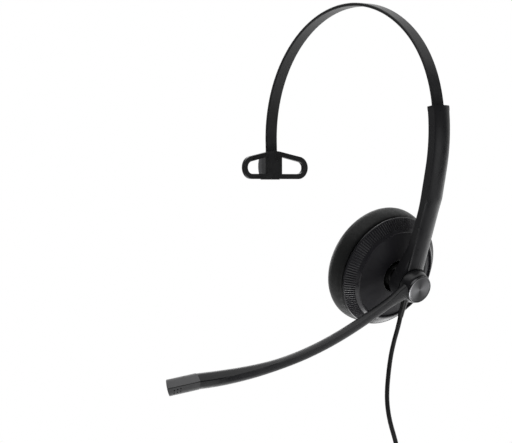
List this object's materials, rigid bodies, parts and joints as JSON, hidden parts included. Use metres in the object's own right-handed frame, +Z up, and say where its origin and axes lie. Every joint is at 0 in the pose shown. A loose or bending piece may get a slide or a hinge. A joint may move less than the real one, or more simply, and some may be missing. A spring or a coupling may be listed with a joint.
{
  "type": "office headset",
  "caption": "Wired mono office headset: sprung headband with temple pad, sliding arm, tilting cushioned ear cup and swivelling boom microphone.",
  "frame": {"origin": "on the underside of the headband's skin at the crown, where it rests on a head or a hook", "axes": "+Z up, +X towards the ear cup, -Y the way the wearer faces"},
  "size_m": [0.1377, 0.1618, 0.3006],
  "materials": {
    "band_plastic": "satin black moulded skin",
    "spring_steel": "blued spring strip",
    "steel": "plain steel",
    "boss_plastic": "dark grey satin",
    "pad_rubber": "soft black rubber",
    "arm_plastic": "satin black",
    "cover_plastic": "fine matt black",
    "black_steel": "black oxide",
    "brass": "turned brass",
    "nylon": "black nylon",
    "relief_rubber": "soft black",
    "cord_jacket": "smooth black jacket",
    "tie_strap": "woven hook strap",
    "clear_plastic": "clear moulding",
    "gold_contact": "gold plated",
    "cup_plastic": "satin black",
    "face_plastic": "fine satin black",
    "inner_plastic": "unfinished black",
    "diaphragm_film": "thin film",
    "magnet_metal": "plated",
    "board_green": "coated board",
    "scrim_cloth": "thin open cloth",
    "leatherette": "black leatherette over foam",
    "cap_metal": "dark spun metal",
    "mic_plastic": "dark grey satin",
    "capsule_metal": "pressed can"
  },
  "bodies": {
    "headband": {"band_strip": "spring_steel", "band_skin": "band_plastic", "tail_stop": "steel", "pad_boss": "boss_plastic", "pad_boss_cap": "boss_plastic", "pad_rivets": "steel", "temple_pad": "pad_rubber"},
    "arm": {"arm_shell": "arm_plastic", "arm_cover": "cover_plastic", "arm_screws": "steel", "detent_leaf": "spring_steel", "ball_stud": "black_steel", "pivot_post": "brass", "pivot_screw": "steel", "friction_washer": "nylon", "strain_relief": "relief_rubber", "cord": "cord_jacket", "cord_coil": "cord_jacket", "coil_tie": "tie_strap", "cord_tail": "cord_jacket", "plug_boot": "relief_rubber", "plug_body": "clear_plastic", "plug_contacts": "gold_contact"},
    "latch": {"plug_latch": "clear_plastic"},
    "cup_ball": {"ball_cage": "nylon"},
    "ear_cup": {"cup_shell": "cup_plastic", "rib_ring": "cup_plastic", "face_plate": "face_plastic", "ball_socket": "inner_plastic", "socket_screws": "steel", "baffle": "inner_plastic", "baffle_screws": "steel", "speaker_grille": "inner_plastic", "driver_frame": "inner_plastic", "driver_diaphragm": "diaphragm_film", "driver_yoke": "magnet_metal", "driver_magnet": "magnet_metal", "terminal_board": "board_green", "ear_scrim": "scrim_cloth", "cushion_ring": "inner_plastic", "ear_cushion": "leatherette"},
    "boom": {"boom_arm": "arm_plastic", "boom_cap": "cap_metal", "mic_upper": "mic_plastic", "mic_lower": "mic_plastic", "mic_element": "capsule_metal"}
  },
  "joints": [
    {"name": "arm_slide", "type": "hinge", "parent": "headband", "child": "arm", "pos_m": [-0.02245, 0, -0.06303], "axis": [0, 1, 0], "range_deg": [0, 15]},
    {"name": "cup_swivel", "type": "hinge", "parent": "arm", "child": "cup_ball", "pos_m": [0.03017, 0, -0.13312], "axis": [-0.3535, 0, -0.9354], "range_deg": [-12, 12]},
    {"name": "cup_tilt", "type": "hinge", "parent": "cup_ball", "child": "ear_cup", "pos_m": [0.03017, 0, -0.13312], "axis": [0, 1, 0], "range_deg": [-12, 12]},
    {"name": "boom_swivel", "type": "hinge", "parent": "arm", "child": "boom", "pos_m": [0.04205, 0, -0.13761], "axis": [0.9354, 0, -0.3535], "range_deg": [-285, 45]},
    {"name": "latch_press", "type": "hinge", "parent": "arm", "child": "latch", "pos_m": [0.0215, 0.008, -0.298], "axis": [0, 1, 0], "range_deg": [0, 9], "stiffness_Nm_per_rad": 0.05}
  ]
}
